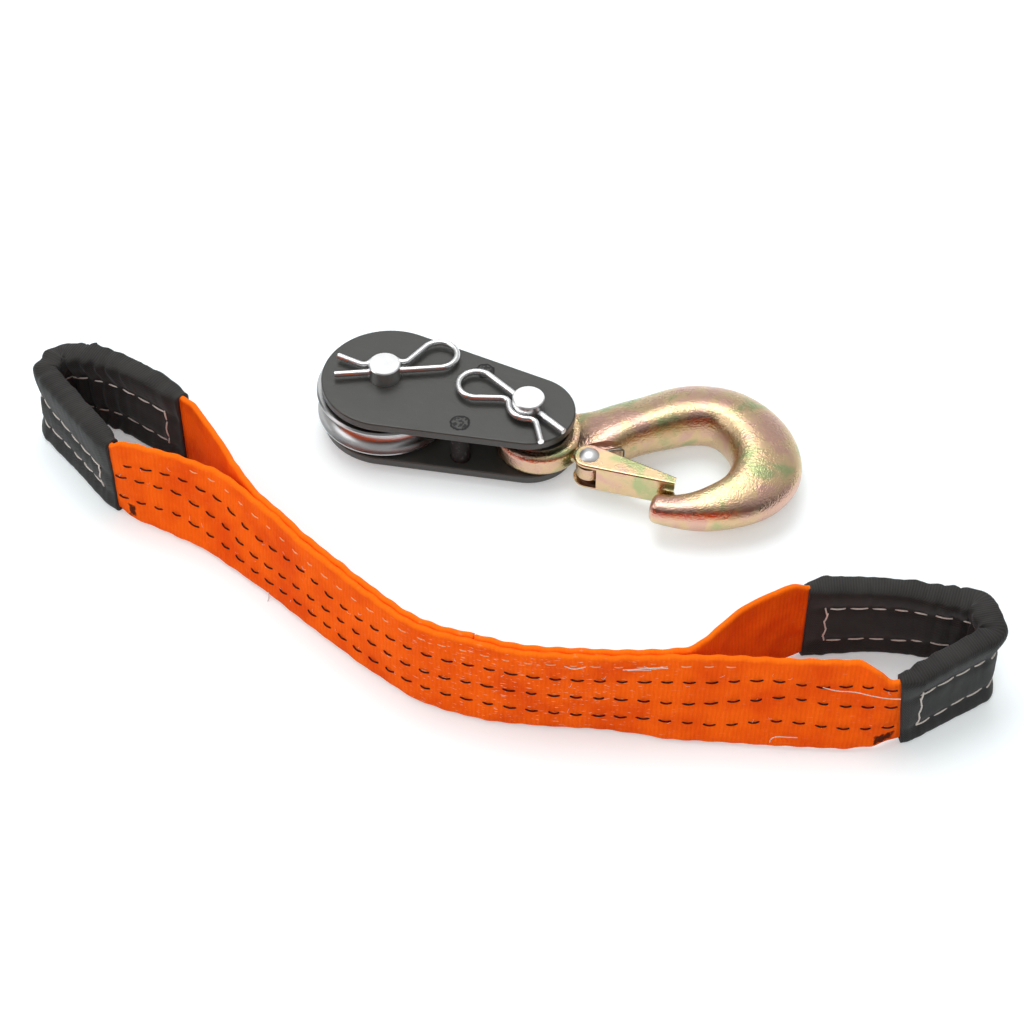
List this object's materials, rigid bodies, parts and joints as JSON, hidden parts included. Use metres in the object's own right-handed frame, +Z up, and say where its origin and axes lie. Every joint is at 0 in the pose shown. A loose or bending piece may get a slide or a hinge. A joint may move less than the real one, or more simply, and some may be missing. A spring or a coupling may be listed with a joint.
{
  "type": "snatch block with hook and tree strap",
  "caption": "Snatch block with a latched eye hook held between two side plates by clevis pins, and a doubled webbing tree strap with sleeved eyes.",
  "frame": {"origin": "foot of the sheave pin's head, on the surface that the set lies on", "axes": "+X from the sheave pin to the hook pin, +Z up along both pins, +Y away from the strap"},
  "size_m": [0.4854, 0.2229, 0.0521],
  "materials": {
    "plate_coating": "satin black powder coat",
    "bright_zinc": "bright zinc plated",
    "bushing_bronze": "plain bronze bearing",
    "yellow_zinc": "yellow zinc plated with a rainbow tint",
    "spring_steel": "bright wire",
    "orange_webbing": "woven webbing",
    "sleeve_cloth": "coarse woven cloth"
  },
  "bodies": {
    "block": {"lower_side_plate": "plate_coating", "upper_side_plate": "plate_coating", "near_spacer_post": "plate_coating", "far_spacer_post": "plate_coating"},
    "sheave": {"sheave": "bright_zinc", "sheave_bushing": "bushing_bronze"},
    "sheave_pin": {"sheave_pin": "bright_zinc"},
    "sheave_clip": {"sheave_pin_clip": "bright_zinc"},
    "hook_pin": {"hook_pin": "bright_zinc"},
    "hook_clip": {"hook_pin_clip": "bright_zinc"},
    "hook": {"hook": "yellow_zinc", "latch_rivet": "bright_zinc", "latch_spring": "spring_steel"},
    "latch": {"latch": "yellow_zinc"},
    "strap": {"strap_webbing": "orange_webbing", "left_eye_sleeve": "sleeve_cloth", "right_eye_sleeve": "sleeve_cloth"}
  },
  "joints": [
    {"name": "sheave_spin", "type": "hinge", "parent": "block", "child": "sheave", "pos_m": [0, 0, 0.01948], "axis": [0, 0, 1], "continuous": true},
    {"name": "sheave_pin_turn", "type": "hinge", "parent": "block", "child": "sheave_pin", "pos_m": [0, 0, 0], "axis": [0, 0, 1], "range_deg": [-5, 280]},
    {"name": "hook_pin_turn", "type": "hinge", "parent": "block", "child": "hook_pin", "pos_m": [0.075, 0, 0], "axis": [0, 0, 1], "continuous": true},
    {"name": "sheave_clip_pull", "type": "slide", "parent": "sheave_pin", "child": "sheave_clip", "axis": [0.9184, 0.3955, 0], "range_m": [0, 0.034], "deforming": ["sheave_pin_clip"]},
    {"name": "hook_clip_pull", "type": "slide", "parent": "hook_pin", "child": "hook_clip", "axis": [-0.8788, 0.4772, 0], "range_m": [0, 0.034], "deforming": ["hook_pin_clip"]},
    {"name": "hook_swing", "type": "hinge", "parent": "block", "child": "hook", "pos_m": [0.075, 0, 0.01641], "axis": [0, 0, 1], "range_deg": [-93.8, 86.2]},
    {"name": "latch_open", "type": "hinge", "parent": "hook", "child": "latch", "pos_m": [0.11015, -0.0116, 0.01641], "axis": [0, 0, 1], "range_deg": [0, 32], "stiffness_Nm_per_rad": 0.05, "springref_deg": -28.65, "deforming": ["latch_spring"]},
    {"name": "strap_lift", "type": "slide", "parent": "block", "child": "strap", "axis": [0, 0, 1], "range_m": [0, 0.08]}
  ]
}
